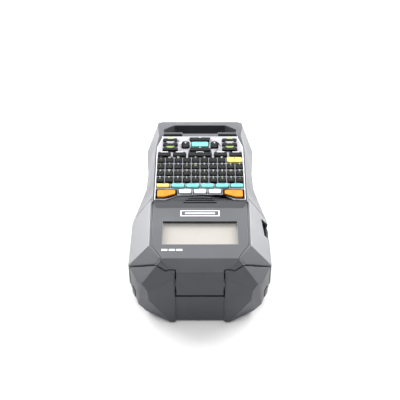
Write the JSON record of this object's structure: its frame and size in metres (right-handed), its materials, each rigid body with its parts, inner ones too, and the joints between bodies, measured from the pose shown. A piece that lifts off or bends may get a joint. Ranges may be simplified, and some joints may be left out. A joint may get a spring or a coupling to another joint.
{
  "type": "label maker",
  "caption": "Hand-held label maker with a full keypad, a display, a hinged cassette door over the print engine, a battery door and a carrying loop.",
  "frame": {"origin": "under the middle of the label maker, on the surface it lies on with its keypad up", "axes": "+Y towards the head where labels come out, +Z out of the keypad, +X to the right of a reader who looks at it with the head away from them"},
  "size_m": [0.1212, 0.2202, 0.062],
  "materials": {
    "casing": "charcoal textured plastic",
    "soft_rubber": "matt rubber",
    "steel": "bright steel",
    "window": "clear window",
    "display": "unlit display",
    "bezel": "silver satin",
    "key_rubber": "moulded key rubber",
    "key_yellow": "yellow key",
    "key_teal": "teal key",
    "key_white": "white key",
    "key_orange": "orange key",
    "board": "circuit board",
    "dark_plastic": "black plastic",
    "pack_plastic": "battery pack case",
    "nylon": "natural nylon",
    "paper": "label stock",
    "ribbon": "thermal ribbon"
  },
  "bodies": {
    "casing": {"lower_casing": "casing", "head_shell": "casing", "grip_shell": "casing", "deck_panel": "casing", "foot_rail_right": "soft_rubber", "foot_rail_left": "soft_rubber", "door_hinge_pin": "steel", "display_window": "window", "display_module": "display", "keypad_bezel": "bezel", "keypad_mat": "key_rubber", "main_board": "board", "power_socket": "dark_plastic", "battery_pack": "pack_plastic", "battery_contacts": "steel", "cassette_case": "nylon", "engine_frame": "steel", "stepper_motor": "steel", "print_head": "steel"},
    "cassette_door": {"cassette_door": "casing"},
    "battery_door": {"battery_door": "casing"},
    "door_latch_right": {"door_latch_right": "dark_plastic"},
    "door_latch_left": {"door_latch_left": "dark_plastic"},
    "platen": {"platen_roller": "soft_rubber", "platen_gear": "nylon"},
    "idler_gear": {"idler_gear": "nylon"},
    "motor_pinion": {"motor_pinion": "nylon"},
    "label_roll": {"label_roll": "paper"},
    "ribbon_supply_spool": {"ribbon_supply_spool": "ribbon"},
    "ribbon_take_up_spool": {"ribbon_take_up_spool": "ribbon"},
    "cutter_blade": {"cutter_blade": "steel"},
    "shift_key": {"shift_key": "key_yellow"},
    "backspace_key": {"backspace_key": "key_yellow"},
    "edit_key": {"edit_key": "key_teal"},
    "size_key": {"size_key": "key_teal"},
    "style_key": {"style_key": "key_teal"},
    "layout_key": {"layout_key": "key_teal"},
    "file_key": {"file_key": "key_teal"},
    "undo_key": {"undo_key": "key_white"},
    "preview_key": {"preview_key": "key_white"},
    "settings_key": {"settings_key": "key_white"},
    "symbol_key": {"symbol_key": "key_rubber"},
    "accent_key": {"accent_key": "key_rubber"},
    "space_key": {"space_key": "key_rubber"},
    "capitals_key": {"capitals_key": "key_rubber"},
    "function_key": {"function_key": "key_rubber"},
    "right_menu_key_1": {"right_menu_key_1": "key_rubber"},
    "left_menu_key_1": {"left_menu_key_1": "key_rubber"},
    "right_menu_key_2": {"right_menu_key_2": "key_rubber"},
    "left_menu_key_2": {"left_menu_key_2": "key_rubber"},
    "right_menu_key_3": {"right_menu_key_3": "key_rubber"},
    "left_menu_key_3": {"left_menu_key_3": "key_rubber"},
    "up_key": {"up_key": "key_rubber"},
    "down_key": {"down_key": "key_rubber"},
    "select_key": {"select_key": "key_teal"},
    "right_key": {"right_key": "key_rubber"},
    "left_key": {"left_key": "key_rubber"},
    "right_print_key": {"right_print_key": "key_orange"},
    "left_print_key": {"left_print_key": "key_orange"}
  },
  "joints": [
    {"name": "cassette_door_hinge", "type": "hinge", "parent": "casing", "child": "cassette_door", "pos_m": [0, 0.0334, 0.0036], "axis": [-1, 0, 0], "range_deg": [0, 90]},
    {"name": "battery_door_hinge", "type": "hinge", "parent": "casing", "child": "battery_door", "pos_m": [0, -0.07, 0.0036], "axis": [-1, 0, 0], "range_deg": [0, 90]},
    {"name": "door_latch_right_press", "type": "slide", "parent": "cassette_door", "child": "door_latch_right", "axis": [-1, 0, 0], "range_m": [0, 0.0015], "stiffness_N_per_m": 400, "springref_m": -0.0005},
    {"name": "door_latch_left_press", "type": "slide", "parent": "cassette_door", "child": "door_latch_left", "axis": [1, 0, 0], "range_m": [0, 0.0015], "stiffness_N_per_m": 400, "springref_m": -0.0005},
    {"name": "platen_spin", "type": "hinge", "parent": "casing", "child": "platen", "pos_m": [0, 0.094, 0.0255], "axis": [-1, 0, 0], "continuous": true},
    {"name": "idler_spin", "type": "hinge", "parent": "casing", "child": "idler_gear", "pos_m": [0, 0.07564, 0.02283], "axis": [-1, 0, 0], "continuous": true},
    {"name": "pinion_spin", "type": "hinge", "parent": "casing", "child": "motor_pinion", "pos_m": [0, 0.086, 0.0115], "axis": [-1, 0, 0], "continuous": true},
    {"name": "label_roll_spin", "type": "hinge", "parent": "casing", "child": "label_roll", "pos_m": [0, 0.064, 0.0244], "axis": [-1, 0, 0], "continuous": true},
    {"name": "ribbon_supply_spin", "type": "hinge", "parent": "casing", "child": "ribbon_supply_spool", "pos_m": [0, 0.0494, 0.0374], "axis": [-1, 0, 0], "continuous": true},
    {"name": "ribbon_take_up_spin", "type": "hinge", "parent": "casing", "child": "ribbon_take_up_spool", "pos_m": [0, 0.0486, 0.0154], "axis": [-1, 0, 0], "continuous": true},
    {"name": "cutter_slide", "type": "slide", "parent": "casing", "child": "cutter_blade", "axis": [0, 0, -1], "range_m": [0, 0.003], "stiffness_N_per_m": 300, "springref_m": -0.001},
    {"name": "shift_key_press", "type": "slide", "parent": "casing", "child": "shift_key", "axis": [0, 0, -1], "range_m": [0, 0.001], "stiffness_N_per_m": 400, "springref_m": -0.0005},
    {"name": "backspace_key_press", "type": "slide", "parent": "casing", "child": "backspace_key", "axis": [0, 0, -1], "range_m": [0, 0.001], "stiffness_N_per_m": 400, "springref_m": -0.0005},
    {"name": "edit_key_press", "type": "slide", "parent": "casing", "child": "edit_key", "axis": [0, 0, -1], "range_m": [0, 0.001], "stiffness_N_per_m": 400, "springref_m": -0.0005},
    {"name": "size_key_press", "type": "slide", "parent": "casing", "child": "size_key", "axis": [0, 0, -1], "range_m": [0, 0.001], "stiffness_N_per_m": 400, "springref_m": -0.0005},
    {"name": "style_key_press", "type": "slide", "parent": "casing", "child": "style_key", "axis": [0, 0, -1], "range_m": [0, 0.001], "stiffness_N_per_m": 400, "springref_m": -0.0005},
    {"name": "layout_key_press", "type": "slide", "parent": "casing", "child": "layout_key", "axis": [0, 0, -1], "range_m": [0, 0.001], "stiffness_N_per_m": 400, "springref_m": -0.0005},
    {"name": "file_key_press", "type": "slide", "parent": "casing", "child": "file_key", "axis": [0, 0, -1], "range_m": [0, 0.001], "stiffness_N_per_m": 400, "springref_m": -0.0005},
    {"name": "undo_key_press", "type": "slide", "parent": "casing", "child": "undo_key", "axis": [0, 0, -1], "range_m": [0, 0.001], "stiffness_N_per_m": 400, "springref_m": -0.0005},
    {"name": "preview_key_press", "type": "slide", "parent": "casing", "child": "preview_key", "axis": [0, 0, -1], "range_m": [0, 0.001], "stiffness_N_per_m": 400, "springref_m": -0.0005},
    {"name": "settings_key_press", "type": "slide", "parent": "casing", "child": "settings_key", "axis": [0, 0, -1], "range_m": [0, 0.001], "stiffness_N_per_m": 400, "springref_m": -0.0005},
    {"name": "symbol_key_press", "type": "slide", "parent": "casing", "child": "symbol_key", "axis": [0, 0, -1], "range_m": [0, 0.001], "stiffness_N_per_m": 400, "springref_m": -0.0005},
    {"name": "accent_key_press", "type": "slide", "parent": "casing", "child": "accent_key", "axis": [0, 0, -1], "range_m": [0, 0.001], "stiffness_N_per_m": 400, "springref_m": -0.0005},
    {"name": "space_key_press", "type": "slide", "parent": "casing", "child": "space_key", "axis": [0, 0, -1], "range_m": [0, 0.001], "stiffness_N_per_m": 400, "springref_m": -0.0005},
    {"name": "capitals_key_press", "type": "slide", "parent": "casing", "child": "capitals_key", "axis": [0, 0, -1], "range_m": [0, 0.001], "stiffness_N_per_m": 400, "springref_m": -0.0005},
    {"name": "function_key_press", "type": "slide", "parent": "casing", "child": "function_key", "axis": [0, 0, -1], "range_m": [0, 0.001], "stiffness_N_per_m": 400, "springref_m": -0.0005},
    {"name": "right_menu_key_1_press", "type": "slide", "parent": "casing", "child": "right_menu_key_1", "axis": [0, 0, -1], "range_m": [0, 0.001], "stiffness_N_per_m": 400, "springref_m": -0.0005},
    {"name": "left_menu_key_1_press", "type": "slide", "parent": "casing", "child": "left_menu_key_1", "axis": [0, 0, -1], "range_m": [0, 0.001], "stiffness_N_per_m": 400, "springref_m": -0.0005},
    {"name": "right_menu_key_2_press", "type": "slide", "parent": "casing", "child": "right_menu_key_2", "axis": [0, 0, -1], "range_m": [0, 0.001], "stiffness_N_per_m": 400, "springref_m": -0.0005},
    {"name": "left_menu_key_2_press", "type": "slide", "parent": "casing", "child": "left_menu_key_2", "axis": [0, 0, -1], "range_m": [0, 0.001], "stiffness_N_per_m": 400, "springref_m": -0.0005},
    {"name": "right_menu_key_3_press", "type": "slide", "parent": "casing", "child": "right_menu_key_3", "axis": [0, 0, -1], "range_m": [0, 0.001], "stiffness_N_per_m": 400, "springref_m": -0.0005},
    {"name": "left_menu_key_3_press", "type": "slide", "parent": "casing", "child": "left_menu_key_3", "axis": [0, 0, -1], "range_m": [0, 0.001], "stiffness_N_per_m": 400, "springref_m": -0.0005},
    {"name": "up_key_press", "type": "slide", "parent": "casing", "child": "up_key", "axis": [0, 0, -1], "range_m": [0, 0.001], "stiffness_N_per_m": 400, "springref_m": -0.0005},
    {"name": "down_key_press", "type": "slide", "parent": "casing", "child": "down_key", "axis": [0, 0, -1], "range_m": [0, 0.001], "stiffness_N_per_m": 400, "springref_m": -0.0005},
    {"name": "select_key_press", "type": "slide", "parent": "casing", "child": "select_key", "axis": [0, 0, -1], "range_m": [0, 0.001], "stiffness_N_per_m": 400, "springref_m": -0.0005},
    {"name": "right_key_press", "type": "slide", "parent": "casing", "child": "right_key", "axis": [0, 0, -1], "range_m": [0, 0.001], "stiffness_N_per_m": 400, "springref_m": -0.0005},
    {"name": "left_key_press", "type": "slide", "parent": "casing", "child": "left_key", "axis": [0, 0, -1], "range_m": [0, 0.001], "stiffness_N_per_m": 400, "springref_m": -0.0005},
    {"name": "right_print_key_press", "type": "slide", "parent": "casing", "child": "right_print_key", "axis": [0, 0, -1], "range_m": [0, 0.001], "stiffness_N_per_m": 400, "springref_m": -0.0005},
    {"name": "left_print_key_press", "type": "slide", "parent": "casing", "child": "left_print_key", "axis": [0, 0, -1], "range_m": [0, 0.001], "stiffness_N_per_m": 400, "springref_m": -0.0005}
  ],
  "couplings": [
    {"joint": "idler_spin", "follows": "platen_spin", "ratio": -0.76923},
    {"joint": "pinion_spin", "follows": "platen_spin", "ratio": 1.6667},
    {"joint": "label_roll_spin", "follows": "platen_spin", "ratio": 0.56604},
    {"joint": "ribbon_supply_spin", "follows": "platen_spin", "ratio": 1.0714},
    {"joint": "ribbon_take_up_spin", "follows": "platen_spin", "ratio": 1}
  ]
}
